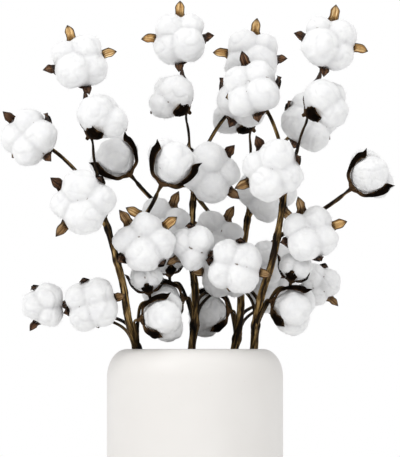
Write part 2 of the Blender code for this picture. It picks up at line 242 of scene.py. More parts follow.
def mix(tree, factor, first, second, blend="MIX"):
    """Two colours mixed by a factor; in a Mix node the colours are inputs 6 and 7 and output 2."""
    made = tree.nodes.new("ShaderNodeMix")
    made.data_type = "RGBA"
    made.blend_type = blend
    for index, value in ((0, factor), (6, first), (7, second)):
        if isinstance(value, bpy.types.NodeSocket):
            tree.links.new(value, made.inputs[index])
        elif index == 0:
            made.inputs[index].default_value = value
        else:
            made.inputs[index].default_value = (*value, 1.0)
    return made.outputs[2]


def noise_of(tree, vector, scale, detail=3.0, roughness=0.55, distortion=0.0):
    """Noise from 0 to 1; the scale is in cells a metre where the vector is a place."""
    made = add_node(tree, "TexNoise", {"Vector": vector, "Scale": scale, "Detail": detail,
                                       "Roughness": roughness, "Distortion": distortion})
    return made.outputs["Fac"]


def math_of(tree, operation, first, second):
    """Two values added, multiplied or the like."""
    return add_node(tree, "Math", {0: first, 1: second}, operation=operation).outputs[0]


def bump(tree, height, strength, distance, below=None):
    """The surface raised by a height, on top of the relief below it."""
    inputs = {"Height": height, "Strength": strength, "Distance": distance}
    if below is not None:
        inputs["Normal"] = below
    return add_node(tree, "Bump", inputs).outputs["Normal"]


def new_material(name, **uniform):
    """A Principled material; what is the same all over the surface is set on its own sockets."""
    material = bpy.data.materials.new(name)
    material.use_nodes = True
    shader = material.node_tree.nodes["Principled BSDF"]
    for socket, value in uniform.items():
        shader.inputs[socket.replace("_", " ")].default_value = value
    return material, material.node_tree, shader


def object_coordinates(tree):
    """The place on the piece in metres, which is the part's own frame."""
    return add_node(tree, "TexCoord").outputs["Object"]


def attribute(tree, name, output="Vector"):
    """Values stored at the mesh's points."""
    return add_node(tree, "Attribute", attribute_name=name).outputs[output]


SCATTER = 4 * MM               # how far light travels inside the cotton
WHITE = (1.0, 1.0, 1.0)
FLECK = (0.10, 0.055, 0.03)    # a crumb of dry leaf caught in the cotton


def cotton_material():
    """Matt white fibre: soft mottling, painted shade that greys it in the creases and folds, rare brown
    flecks, a tangle as relief.
    """
    material, tree, shader = new_material("cotton_fibre", Roughness=0.95, Sheen_Weight=0.35,
                                          Sheen_Roughness=0.6, Specular_IOR_Level=0.15,
                                          Subsurface_Weight=0.4, Subsurface_Scale=SCATTER,
                                          Subsurface_Radius=WHITE)
    place = object_coordinates(tree)
    mottle = ramp(tree, noise_of(tree, place, 130), (0.3, (0.75, 0.75, 0.757)), (0.7, (0.82, 0.82, 0.815)))
    crease = attribute(tree, "crease", "Fac")
    # painted shade: the colour is greyer where the crease attribute marks a crease between locks or the
    # bottom of a fold
    shade = ramp(tree, crease, (0.0, 1.0), (0.5, (0.955, 0.955, 0.957)), (1.0, (0.87, 0.87, 0.873)))
    white = mix(tree, 1.0, mottle, shade, "MULTIPLY")
    caught = math_of(tree, "MULTIPLY", noise_of(tree, place, 170, 2.0), crease)
    flecks = ramp(tree, caught, (0.63, 0.0), (0.68, 0.85))
    tree.links.new(mix(tree, flecks, white, FLECK), shader.inputs["Base Color"])
    tangle = noise_of(tree, place, 900, 5.0, 0.7, 2.2)
    wisps = noise_of(tree, place, 260, 4.0, 0.6, 1.2)
    normal = bump(tree, tangle, 0.35, 0.5 * MM, bump(tree, wisps, 0.4, 1.2 * MM))
    tree.links.new(normal, shader.inputs["Normal"])
    return material


def bark_material():
    """Stem bark: olive brown with dark streaks along the stem, and dark where a twig leaves."""
    material, tree, shader = new_material("stem_bark", Specular_IOR_Level=0.12)
    grain = attribute(tree, "grain")
    streaks = noise_of(tree, grain, 300, 4.0, 0.6, 0.4)
    patches = noise_of(tree, grain, 260, 3.0, 0.6)
    brown = ramp(tree, streaks, (0.36, (0.004, 0.002, 0.001)), (0.45, (0.020, 0.011, 0.004)),
                 (0.515, (0.085, 0.050, 0.016)), (0.59, (0.27, 0.168, 0.058)), (0.68, (0.56, 0.38, 0.16)))
    worn = ramp(tree, patches, (0.34, (0.50, 0.46, 0.42)), (0.50, (1.0, 1.0, 1.0)))
    dark = ramp(tree, attribute(tree, "dark", "Fac"), (0.0, 1.0), (1.0, (0.16, 0.14, 0.12)))
    colour = mix(tree, 1.0, mix(tree, 1.0, brown, worn, "MULTIPLY"), dark, "MULTIPLY")
    tree.links.new(colour, shader.inputs["Base Color"])
    tree.links.new(ramp(tree, streaks, (0.3, 0.85), (0.7, 0.5)), shader.inputs["Roughness"])
    relief = bump(tree, streaks, 0.6, 0.35 * MM, bump(tree, patches, 0.3, 0.6 * MM))
    tree.links.new(relief, shader.inputs["Normal"])
    return material


BORDER_BROWN = (0.034, 0.014, 0.005)
TIP_BROWN = (0.014, 0.007, 0.004)


def husk_material():
    """Outside of a burr: near black, and tan brown at a valve's foot, its edges and an opened tip."""
    material, tree, shader = new_material("burr_husk", Specular_IOR_Level=0.015)
    place = object_coordinates(tree)
    along, across, opened = add_node(tree, "SeparateXYZ", {"Vector": attribute(tree, "valve")}).outputs
    mottle = noise_of(tree, place, 240, 4.0, 0.6, 0.5)
    black = ramp(tree, mottle, (0.35, (0.0012, 0.0009, 0.0006)), (0.70, (0.0070, 0.0036, 0.0018)))
    tan = ramp(tree, mottle, (0.40, (0.030, 0.014, 0.006)), (0.7, (0.21, 0.125, 0.06)))
    low = math_of(tree, "ADD", along, math_of(tree, "MULTIPLY", mottle, 0.5))
    foot = ramp(tree, low, (0.34, 0.75), (0.56, 0.0))
    edge = ramp(tree, across, (0.80, 0.0), (1.0, 0.8))
    point = ramp(tree, along, (0.74, 0.0), (0.92, 0.8))
    worn = math_of(tree, "MULTIPLY", point, opened)
    showing = math_of(tree, "MAXIMUM", math_of(tree, "MAXIMUM", foot, edge), worn)
    tree.links.new(mix(tree, showing, black, tan), shader.inputs["Base Color"])
    tree.links.new(ramp(tree, mottle, (0.3, 0.6), (0.7, 0.8)), shader.inputs["Roughness"])
    wrinkles = noise_of(tree, place, 700, 4.0, 0.65, 1.0)
    tree.links.new(bump(tree, wrinkles, 0.5, 0.4 * MM), shader.inputs["Normal"])
    return material


def lining_material():
    """Inside of a valve: straw if opened wide, else a darker copy painted as shade, with streaks, a midrib,
    a border and a tip.
    """
    material, tree, shader = new_material("burr_lining", Specular_IOR_Level=0.2)
    place = object_coordinates(tree)
    along, across, opened = add_node(tree, "SeparateXYZ", {"Vector": attribute(tree, "valve")}).outputs
    fibre = noise_of(tree, attribute(tree, "fibre"), 2.6, 5.0, 0.7, 0.4)
    mottle = noise_of(tree, place, 200, 3.0)
    straw = ramp(tree, fibre, (0.34, (0.11, 0.045, 0.012)), (0.44, (0.40, 0.205, 0.065)),
                 (0.53, (0.75, 0.49, 0.20)), (0.66, (0.96, 0.79, 0.50)))
    soft = ramp(tree, mottle, (0.35, (0.72, 0.68, 0.62)), (0.65, (1.0, 1.0, 1.0)))
    straw = mix(tree, 1.0, straw, soft, "MULTIPLY")
    # painted shade: a shaded copy of the straw, mixed in the less a valve is opened
    shaded = ramp(tree, fibre, (0.36, (0.010, 0.004, 0.002)), (0.50, (0.060, 0.024, 0.010)),
                  (0.66, (0.30, 0.16, 0.075)))
    straw = mix(tree, opened, shaded, straw)
    midrib = ramp(tree, across, (0.02, 0.35), (0.10, 0.0))
    border = ramp(tree, across, (0.66, 0.0), (0.90, 0.95))
    point = ramp(tree, along, (0.86, 0.0), (0.97, 1.0))
    drawn = mix(tree, midrib, straw, BORDER_BROWN)
    drawn = mix(tree, border, drawn, BORDER_BROWN)
    drawn = mix(tree, point, drawn, TIP_BROWN)
    tree.links.new(drawn, shader.inputs["Base Color"])
    tree.links.new(ramp(tree, fibre, (0.3, 0.62), (0.7, 0.4)), shader.inputs["Roughness"])
    tree.links.new(bump(tree, fibre, 0.4, 0.25 * MM), shader.inputs["Normal"])
    return material


SPECK = (0.62, 0.58, 0.52)
BARE_CLAY = (0.60, 0.53, 0.45)
BARE_HEIGHTS = (1.2 * MM, 2.2 * MM)   # the clay is bare up to the first, glazed from the second


def glaze_material():
    """Satin off-white glaze, faintly uneven, bare and warmer on the ring that it stands on."""
    material, tree, shader = new_material("vase_glaze", Specular_IOR_Level=0.4, Coat_Weight=0.12,
                                          Coat_Roughness=0.3)
    place = object_coordinates(tree)
    height = add_node(tree, "SeparateXYZ", {"Vector": place}).outputs["Z"]
    cloud = noise_of(tree, place, 9, 3.0)
    glaze = ramp(tree, cloud, (0.35, (0.724, 0.703, 0.678)), (0.65, (0.753, 0.735, 0.711)))
    specks = noise_of(tree, place, 420, 2.0, 0.5)
    glaze = mix(tree, ramp(tree, specks, (0.72, 0.0), (0.78, 0.35)), glaze, SPECK)
    bare = ramp(tree, height, (BARE_HEIGHTS[0], 1.0), (BARE_HEIGHTS[1], 0.0))
    tree.links.new(mix(tree, bare, glaze, BARE_CLAY), shader.inputs["Base Color"])
    satin = ramp(tree, noise_of(tree, place, 60), (0.3, 0.40), (0.7, 0.48))
    tree.links.new(satin, shader.inputs["Roughness"])
    ripple = noise_of(tree, place, 26, 2.0)
    grain = noise_of(tree, place, 1300, 2.0)
    normal = bump(tree, grain, 0.08, 0.15 * MM, bump(tree, ripple, 0.12, 1.5 * MM))
    tree.links.new(normal, shader.inputs["Normal"])
    return material


GLOW_FROM, GLOW_TO = 0.5, 1.8   # metres from the vase's foot, over which the floor's painted glow rises
GLOW = 0.4


def floor_material():
    """Pale paper with a painted glow that grows towards its far edges, so that it fades into the white
    surround.
    """
    material, tree, shader = new_material("floor_paper", Roughness=0.9, Specular_IOR_Level=0.1,
                                          Emission_Color=(*WHITE, 1.0))
    place = object_coordinates(tree)
    tone = ramp(tree, noise_of(tree, place, 3), (0.3, 0.90), (0.7, 0.93))
    tree.links.new(tone, shader.inputs["Base Color"])
    # painted light: the floor emits more light the further it is from the vase
    away = add_node(tree, "VectorMath", {0: place}, operation="LENGTH").outputs["Value"]
    glow = add_node(tree, "MapRange", {"Value": away, "From Min": GLOW_FROM, "From Max": GLOW_TO,
                                       "To Max": GLOW})
    tree.links.new(glow.outputs["Result"], shader.inputs["Emission Strength"])
    return material


# ---- meshes -------------------------------------------------------------------------------------------

def add_object(name, data):
    made = bpy.data.objects.new(name, data)
    bpy.context.scene.collection.objects.link(made)
    return made


def add_piece(name, vertices, faces, materials, slots=None, attributes=None):
    """A smooth-shaded piece; slots gives each face's material, attributes gives values for each vertex."""
    mesh = bpy.data.meshes.new(name)
    mesh.from_pydata(vertices, [], faces)
    for material in materials:
        mesh.materials.append(material)
    if slots is not None:
        mesh.polygons.foreach_set("material_index", slots)
    for key, values in (attributes or {}).items():
        values = np.asarray(values, np.float32)
        kind, field = ("FLOAT_VECTOR", "vector") if values.ndim == 2 else ("FLOAT", "value")
        mesh.attributes.new(key, kind, "POINT").data.foreach_set(field, values.ravel())
    mesh.shade_smooth()
    mesh.update()
    return add_object(name, mesh)


class Shape:
    """Closed bodies gathered into one mesh, with each vertex's attributes and each face's material."""

    def __init__(self, *keys):
        self.vertices, self.faces, self.slots = [], [], []
        self.attributes = {key: [] for key in keys}

    def add(self, vertices, faces, slots, **values):
        """Adds a body whose faces count its own vertices from 0; slots is a list or one for all faces."""
        start = len(self.vertices)
        self.vertices += [tuple(vertex) for vertex in vertices]
        self.faces += [tuple(start + index for index in face) for face in faces]
        self.slots += slots if isinstance(slots, list) else [slots] * len(faces)
        for key, given in values.items():
            self.attributes[key] += list(given)


def tube_faces(rings, sides):
    """Faces of a closed tube of rings: its two ends, then its sides, ring by ring."""
    last = (rings - 1) * sides
    faces = [tuple(range(sides))[::-1], tuple(range(last, last + sides))]
    for low in range(0, last, sides):
        for step in range(sides):
            beside = (step + 1) % sides
            faces.append((low + step, low + beside, low + sides + beside, low + sides + step))
    return faces


# ---- cotton -------------------------------------------------------------------------------------------

BALL_CELLS = 30                # along each edge of the cube that a boll's mesh is blown up from
CREASE_SHARPNESS = 13
CREASE_WIDTH = 0.15            # this and the depth are in shares of the radius
CREASE_DEPTH = 0.015
WARP_CELLS = 2.1               # noise cells from a boll's middle to its surface
WARP = 0.07                    # how much the reach varies, as a share of it
DIMPLE = 0.30                  # the share by which the core draws back between the locks at the open face
DIMPLE_FROM, DIMPLE_OVER = 0.3, 0.6    # how far forward a direction looks there, from 0 to 1
LUMPS = ((11 * MM, 1.0 * MM), (3.2 * MM, 0.32 * MM), (1.5 * MM, 0.14 * MM))   # size, height
FOLD_SIZE = 17 * MM
FOLD_WIDTH = 0.13              # a fold runs where its noise is 0 and is gone where that is this much
FOLD_DEPTH = 0.9 * MM
FOLD_SHADE = 0.6               # how dark the painted shade at the bottom of a fold is, where that in a crease between locks is 1
FIBRES = 800                   # on each boll
FIBRE_WIDTH = 0.055 * MM
FIBRE_LENGTHS = (1.2 * MM, 3.4 * MM)
FIBRE_SINK = 0.5 * MM
FIBRE_LEAN = 0.55              # how far a fibre's inner half leans from straight out
FIBRE_CURL = 1.0               # and its outer half


def unit_ball():
    """Directions and four-sided faces of a cube blown up to a sphere, its cells kept nearly even."""
    builder = bmesh.new()
    bmesh.ops.create_cube(builder, size=2)
    bmesh.ops.subdivide_edges(builder, edges=builder.edges[:], cuts=BALL_CELLS - 1, use_grid_fill=True)
    builder.verts.index_update()
    directions = np.tan(np.array([vertex.co for vertex in builder.verts]) * math.pi / 4)
    directions /= np.linalg.norm(directions, axis=1, keepdims=True)
    faces = np.array([[vertex.index for vertex in face.verts] for face in builder.faces])
    builder.free()
    return directions, faces


def lock_reach(directions, spheres):
    """Each direction's reach to the locks' surface, as a share of the radius, and how creased it is, which
    also sets the painted crease shade.
    """
    reaches = []
    for number, (centre, radius) in enumerate(spheres):
        along = directions @ np.array(centre)
        under_root = along ** 2 - centre.length_squared + radius ** 2
        reach = np.where(under_root > 0, along + np.sqrt(np.maximum(under_root, 0)), 0)
        if number == 0:
            reach *= 1 - DIMPLE * np.clip((directions[:, 2] - DIMPLE_FROM) / DIMPLE_OVER, 0, 1)
        reaches.append(reach)
    reaches = np.sort(np.array(reaches), axis=0)
    blended = np.log(np.exp(CREASE_SHARPNESS * reaches).sum(axis=0)) / CREASE_SHARPNESS
    crease = np.exp(-((reaches[-1] - reaches[-2]) / CREASE_WIDTH) ** 2)
    return blended - CREASE_DEPTH * crease, crease


def fluff(point):
    """How far the cotton stands out at a point, and how deep it lies in a fold there, from 0 to 1."""
    fold = max(0.0, 1 - abs(noise.noise(point / FOLD_SIZE)) / FOLD_WIDTH) ** 2
    height = sum(noise.noise(point / size) * rise for size, rise in LUMPS)
    return height - fold * FOLD_DEPTH, fold


def fibre_bodies(points, outward, draw):
    """Closed three-sided fibres, tapering and bent once, their roots sunk in the cotton."""
    picks = draw.integers(len(points), size=FIBRES)
    outward = outward[picks]
    lengths = draw.uniform(*FIBRE_LENGTHS, (FIBRES, 1))
    lean = outward + draw.normal(0, FIBRE_LEAN, (FIBRES, 3))
    curl = outward + draw.normal(0, FIBRE_CURL, (FIBRES, 3))
    lean /= np.linalg.norm(lean, axis=1, keepdims=True)
    curl /= np.linalg.norm(curl, axis=1, keepdims=True)
    across = np.cross(lean, draw.normal(0, 1, (FIBRES, 3)))
    across /= np.linalg.norm(across, axis=1, keepdims=True)
    other = np.cross(lean, across)
    root = points[picks] - outward * FIBRE_SINK
    middle = root + lean * (lengths / 2 + FIBRE_SINK)
    tip = middle + curl * lengths / 2
    ring = [across * math.cos(a) + other * math.sin(a) for a in (0, math.tau / 3, 2 * math.tau / 3)]
    corners = [root + side * FIBRE_WIDTH for side in ring] + [middle + side * FIBRE_WIDTH for side in ring]
    vertices = np.stack([*corners, tip], axis=1).reshape(-1, 3)
    sides = [(0, 2, 1), (0, 1, 4, 3), (1, 2, 5, 4), (2, 0, 3, 5), (3, 4, 6), (4, 5, 6), (5, 3, 6)]
    faces = [tuple(7 * fibre + index for index in side) for fibre in range(FIBRES) for side in sides]
    return vertices, faces


def build_cotton(name, stem, index, boll, ball, material):
    """One boll's fluffy locks, with loose fibres standing out of them."""
    directions, quads = ball
    spheres = lock_spheres(boll["locks"], random.Random(1000 + 100 * stem["number"] + index))
    centre, radius, (face, up, side) = boll_frame(stem, boll)
    axes = np.array([up, side, face])
    reach, crease = lock_reach(directions, spheres)
    seed = 10 * stem["number"] + index
    reach *= [1 + WARP * noise.noise(Vector(way) * WARP_CELLS + Vector((seed, 0, 0))) for way in directions]
    outward = directions @ axes
    points = np.array(centre) + outward * (reach * radius)[:, None]
    fluffed = np.array([fluff(Vector(point)) for point in points])
    points += outward * fluffed[:, :1]
    # painted shade: darker colour in the creases between locks and at the bottoms of folds, stored as the
    # crease attribute
    dark = np.maximum(crease, FOLD_SHADE * fluffed[:, 1])
    if np.linalg.det(axes) < 0:
        quads = quads[:, ::-1]
    draw = np.random.default_rng(1000 * stem["number"] + index)
    hairs, hair_faces = fibre_bodies(points, outward, draw)
    faces = quads.tolist() + [tuple(len(points) + i for i in face) for face in hair_faces]
    vertices = np.vstack([points, hairs]).tolist()
    dark = np.concatenate([dark, np.zeros(len(hairs))])
    return add_piece(name, vertices, faces, [material], attributes={"crease": dark})


# ---- stems and twigs ----------------------------------------------------------------------------------

MAIN_SIDES = 16
TWIG_SIDES = 12
RING_SPACING = 1.8 * MM
BARK_RELIEF = ((1.6, 9 * MM, 0.09), (4.0, 4 * MM, 0.05))   # its radius in noise cells, their length, share
KNOT_LENGTH = 4.5 * MM
KNOT_SWELLING = 0.28
COLLAR_LENGTH = 7 * MM
COLLAR_SWELLING = 0.275
NECK_LENGTH = 9 * MM           # from the burr to the middle of the neck
NECK_WIDTH = 0.68
NECK_SPREAD = 0.5 * NECK_LENGTH
END_SPREAD = 1.6 * NECK_LENGTH         # how far from the burr a twig is dark
GRAIN_STRETCH = 0.14           # the grain's length is drawn out by one over this
SCAR_SPACING = 23 * MM
SCAR_LENGTH = 1.6 * MM
SCAR_SWELLING = 0.06
SCARS_FROM, SCARS_TO_TOP = 40 * MM, 20 * MM   # no leaf scars nearer the foot and the top than these
KNOT_DARK, SCAR_DARK, COLLAR_DARK, NECK_DARK = 0.9, 0.3, 0.85, 0.9
TWIG_DARK, LOW_TWIG_DARK = 0.25, 0.8   # of any twig, and of the low ones, which leave MAIN at LOW_POINT
LOW_POINT = 1
SLIM_DARK = 2.5                # a slim twig's least darkness, for each share that it is thinner than 1
THIN_FROM, THIN_FADE = 2.3 * MM, 0.8 * MM   # the radius below which a main stem darkens, and its range


def smooth_route(points, radii):
    """Closely spaced points and radii on a smooth curve through the given ones, with no overshoot."""
    gaps = [(after - before).length for before, after in zip(points, points[1:])]
    slopes = [(after - before) / gap for before, after, gap in zip(points, points[1:], gaps)]
    tangents = [slopes[0]]
    for before, after, gap, next_gap in zip(slopes, slopes[1:], gaps, gaps[1:]):
        tangents.append((before * next_gap + after * gap) / (gap + next_gap))
    tangents.append(slopes[-1])
    route, widths = [], []
    for index, gap in enumerate(gaps):
        steps = max(2, math.ceil(gap / RING_SPACING))
        for step in range(steps):
            t = step / steps
            between = points[index] * (1 + 2 * t) * (1 - t) ** 2 + points[index + 1] * t * t * (3 - 2 * t)
            leaving = tangents[index] * gap * t * (1 - t) ** 2
            arriving = tangents[index + 1] * gap * t * t * (1 - t)
            route.append(between + leaving - arriving)
            widths.append(radii[index] * (1 - t) + radii[index + 1] * t)
    return route + [points[-1]], widths + [radii[-1]]


def lengths_along(route):
    """Each point's distance from the first, measured along the route."""
    lengths = [0.0]
    for before, after in zip(route, route[1:]):
        lengths.append(lengths[-1] + (after - before).length)
    return lengths


def bark_body(route, widths, sides, seed):
    """A rod with bark relief: its vertices, faces, and each vertex's grain coordinates."""
    lengths = lengths_along(route)
    vertices, grain = [], []
    across = Vector((1, 0.13, 0.07))
    for index, (point, width, length) in enumerate(zip(route, widths, lengths)):
        before, after = route[max(index - 1, 0)], route[min(index + 1, len(route) - 1)]
        along = (after - before).normalized()
        across = (across - along * across.dot(along)).normalized()
        other = along.cross(across)
        for step in range(sides):
            angle = math.tau * step / sides
            turn = Vector((math.cos(angle), math.sin(angle), 0))
            relief = 1.0
            for cells, size, share in BARK_RELIEF:
                spot = Vector((turn.x * cells, turn.y * cells, length / size + seed))
                relief += share * noise.noise(spot)
            vertices.append(point + (across * turn.x + other * turn.y) * width * relief)
            grain.append((turn.x * width, turn.y * width, length * GRAIN_STRETCH + seed))
    return vertices, tube_faces(len(route), sides), grain


def add_main_stem(shape, stem, bolls):
    """The rod from the vase's floor to the burr of the boll without a twig, swollen where twigs leave."""
    foot = Vector((stem["foot"][0] * MM, stem["foot"][1] * MM, VASE_FLOOR + GAP))
    points = [foot, foot + Vector((0, 0, FOOT_LIFT))]
    points += [place_point(stem, point) for point in MAIN]
    radii = [FOOT_RADIUS] * 2 + [radius * MM for radius in MAIN_RADII]
    end = next(boll for boll in bolls if not boll["twig"])
    points.append(boll_base(boll_frame(stem, end)))
    radii.append(STALK_RADIUS * end["thick"])
    route, widths = smooth_route(points, radii)
    lengths = lengths_along(route)
    knots = [place_point(stem, MAIN[boll["leaves"]]) for boll in bolls if boll["twig"]]
    scars = np.arange(SCARS_FROM, lengths[-1] - SCARS_TO_TOP, SCAR_SPACING)
    dark = []
    for index, (point, length) in enumerate(zip(route, lengths)):
        near = max(bell((point - knot).length, KNOT_LENGTH) for knot in knots)
        scar = max(bell(length - at, SCAR_LENGTH) for at in scars)
        widths[index] *= 1 + KNOT_SWELLING * near + SCAR_SWELLING * scar
        thin = clamped((THIN_FROM - widths[index]) / THIN_FADE)
        dark += [min(1.0, max(KNOT_DARK * near + SCAR_DARK * scar, thin))] * MAIN_SIDES
    vertices, faces, grain = bark_body(route, widths, MAIN_SIDES, stem["number"])
    shape.add(vertices, faces, 0, grain=grain, dark=dark)


def add_twig(shape, stem, boll, seed):
    """A twig, thicker in its collar at the stem and narrowed to a neck before the burr."""
    place = boll_frame(stem, boll)
    base = boll_base(place)
    points = [place_point(stem, MAIN[boll["leaves"]])]
    points += [place_point(stem, point) for point in boll["twig"]]
    points += [base - place[2][0] * STALK_LENGTH, base]
    first = MAIN_RADII[boll["leaves"]] * MM * TWIG_START
    radii = [first] + [STALK_RADIUS * boll["thick"]] * (len(points) - 1)
    route, widths = smooth_route(points, radii)
    lengths = lengths_along(route)
    slim = clamped((1.0 - boll["thick"]) * SLIM_DARK)
    least = max(slim, LOW_TWIG_DARK if boll["leaves"] == LOW_POINT else TWIG_DARK)
    dark = []
    for index, length in enumerate(lengths):
        left = lengths[-1] - length
        collar = bell(length, COLLAR_LENGTH)
        neck = bell(left - NECK_LENGTH, NECK_SPREAD)
        widths[index] *= 1 + COLLAR_SWELLING * collar - (1 - NECK_WIDTH) * neck
        end = bell(left, END_SPREAD)
        dark += [max(COLLAR_DARK * collar, NECK_DARK * end, least)] * TWIG_SIDES
    vertices, faces, grain = bark_body(route, widths, TWIG_SIDES, seed)
    shape.add(vertices, faces, 0, grain=grain, dark=dark)


# ---- burrs --------------------------------------------------------------------------------------------

HUSK, LINING = 0, 1            # the burrs' material slots
VALVE_STEPS = 18
VALVE_ACROSS = 8               # points across the outside of a valve, and as many across its inside
VALVE_THICKNESS = 0.9 * MM
POINT_THICKNESS, THICKENING = 0.1, 6   # its share at a valve's point, and how fast it grows from there
NUDGE = 0.01                   # the share of a valve's length over which its slope is taken
KEEL, KEEL_WIDTH = 0.9 * MM, 0.625     # the ridge outside, its width in shares of the valve's
MIDRIB, MIDRIB_WIDTH = 0.5 * MM, 0.25  # and the one inside
RIDGE_FADE = 3 * MM            # where a valve's half width is less than this, its ridges are lower
AXIS_GUARD = 0.5 * MM          # a point nearer a boll's axis turns round it as if it were this far out
VALVE_RELIEF = 0.16 * MM
RELIEF_CELLS = (3, 14)         # from a valve's middle to its edge, and along it
VALVE_WAVER, WAVER_CELLS = 0.10, 6     # how much its width varies, and the cells along it
EDGE_WAVER, EDGE_CELLS = 0.05, 16      # and how much either edge does
FIBRE_SCALE = (1.4, 0.5)       # of the lining's streaks, across and along
VALVE_WIDTHS = ((0.0, 0.13), (0.2, 0.19), (0.45, 0.235), (0.68, 0.15), (0.80, 0.165), (0.92, 0.075),
                (1.0, 0.004))   # half width in shares of the radius, at each share of the length
SHORT_WIDTHS = ((0, 0.14), (0.2, 0.27), (0.45, 0.35), (0.66, 0.31), (0.82, 0.17), (0.9, 0.09), (1, 0.01))
VALVE_HUG = 0.22               # how far a valve's edges bend in, in shares of its half width
OPENED_HUG = 0.2               # added to it where a long valve is opened
SHORT_HUG = 0.2                # and a short valve's own
SHORT_OPENED = 0.6             # how opened a short valve counts as, which also sets how much painted shade its lining gets
SIDE_FACING = 0.4              # a boll is turned aside if its face looks less than this to front or back
FRONT_BREADTH = 0.15           # how much broader near its lip a closed valve is on a boll facing the front
SIDE_BREADTH = 0.9             # and on a boll that is turned aside
LIP_AT, LIP_SPREAD = 0.72, 0.13        # where that is along a valve
CLOSED_WAIST = 0.5             # how much narrower a closed valve is near its foot
WAIST_AT, WAIST_SPREAD = 0.3, 0.2
CLOSED_FROM, CLOSED_OVER = 40, 60      # a valve is closed by how far its tip is bent less than the first
OPENED_FROM, OPENED_OVER = 45, 40      # and opened by how far it is bent more
SHOULDER_BULGE = (0.05, -0.04)         # how far a valve bulges between its root, belly and lip
SIDE_BULGE = (0.055, -0.02)
TIP_HOOK = 14                  # degrees that the last part of a tip turns further out
CLOSED_HOOK = 0.7              # added to them for each degree that a tip is bent less than HOOK_FROM
HOOK_FROM = 30
CUP_SIDES = 24
CUP_PROFILE = ((-1.75, 0.06), (-1.0, 0.085), (-0.72, 0.16), (-0.30, 0.25), (-0.02, 0.285), (0.06, 0.255),
               (0.0, 0.16))   # height in cup depths from the cotton, radius in shares of the boll's
CUP_LOBE, FULL_LOBE = 0.10, 0.2        # the lobes' height, and the radius from which they have it
CUP_WAVER, CUP_CELLS = 0.05, 2         # how much its radius varies, and that radius in noise cells
CUP_PAINT = (0.1, 0.4, 0.0)            # the cup is painted as a valve is here: along, across, opened


def curve_at(points, share):
    """A point at a share of a Catmull-Rom curve through points that are spread evenly along it."""
    points = [2 * points[0] - points[1], *points, 2 * points[-1] - points[-2]]
    spot = min(share * (len(points) - 3), len(points) - 3 - 1e-6)
    index = int(spot)
    t = spot - index
    a, b, c, d = points[index:index + 4]
    square, cube = 2 * a - 5 * b + 4 * c - d, 3 * b - a - 3 * c + d
    return 0.5 * (2 * b + (c - a) * t + square * t ** 2 + cube * t ** 3)


def valve_line(radius, flare):
    """A valve's middle line in the plane of the boll's axis: distance out and forward."""
    short = flare > SHORT
    bend = math.radians(flare - SHORT if short else flare)
    hook = bend + math.radians(TIP_HOOK + max(0, HOOK_FROM - flare) * CLOSED_HOOK)
    root = Vector((CUP_RADIUS * radius, -radius * COTTON_BACK - GAP))
    belly, lip = Vector(VALVE_BELLY) * radius, Vector(SHORT_LIP if short else VALVE_LIP) * radius
    half = (SHORT_TIP if short else TIP_LENGTH) * radius / 2
    middle = lip + Vector((math.sin(bend), math.cos(bend))) * half
    tip = middle + Vector((math.sin(hook), math.cos(hook))) * half
    shoulder = (root + belly) / 2 + Vector(SHOULDER_BULGE) * radius
    side = (belly + lip) / 2 + Vector(SIDE_BULGE) * radius
    return [root, shoulder, belly, side, lip, middle, tip]


def valve_half_width(share, flare, broad):
    """Half a valve's width at a share of its length, in shares of the boll's radius."""
    widths = SHORT_WIDTHS if flare > SHORT else VALVE_WIDTHS
    closed = clamped((CLOSED_FROM - flare) / CLOSED_OVER)
    lip = broad * bell(share - LIP_AT, LIP_SPREAD)
    waist = CLOSED_WAIST * bell(share - WAIST_AT, WAIST_SPREAD)
    return float(np.interp(share, *zip(*widths))) * (1 + closed * (lip - waist))


def valve_across(number):
    """Where a ring's point lies from -1 to 1: first across the husk, then back across the lining."""
    if number < VALVE_ACROSS:
        return number / VALVE_ACROSS * 2 - 1
    return 1 - (number / VALVE_ACROSS - 1) * 2


def valve_ring(place, around, line, share, half, hug, seed):
    """A ring of points round a valve: a keel on its husk, and a raised midrib on its lining."""
    here = curve_at(line, share)
    before, after = curve_at(line, max(0.0, share - NUDGE)), curve_at(line, min(1.0, share + NUDGE))
    along = (after - before).normalized()
    outwards = Vector((along.y, -along.x))
    thin = min(1.0, THICKENING * (1 - share) + POINT_THICKNESS) * VALVE_THICKNESS
    ridged = min(1, half / RIDGE_FADE)
    ring = []
    for number in range(2 * VALVE_ACROSS):
        across = valve_across(number)
        rise = -hug * half * across ** 2
        if number < VALVE_ACROSS:
            rise += thin * (1 - across ** 2) + KEEL * max(0, 1 - abs(across) / KEEL_WIDTH) * ridged
        else:
            rise -= MIDRIB * max(0, 1 - abs(across) / MIDRIB_WIDTH) * ridged
        cell = Vector((across * RELIEF_CELLS[0], share * RELIEF_CELLS[1], seed))
        rise += VALVE_RELIEF * noise.noise(cell)
        spot = here + outwards * rise
        edge = across * half * (1 + EDGE_WAVER * noise.noise(Vector((share * EDGE_CELLS, across, seed))))
        turn = math.atan2(edge, max(spot.x, AXIS_GUARD))
        ring.append(boll_point(place, around + turn, math.hypot(edge, spot.x), spot.y))
    return ring


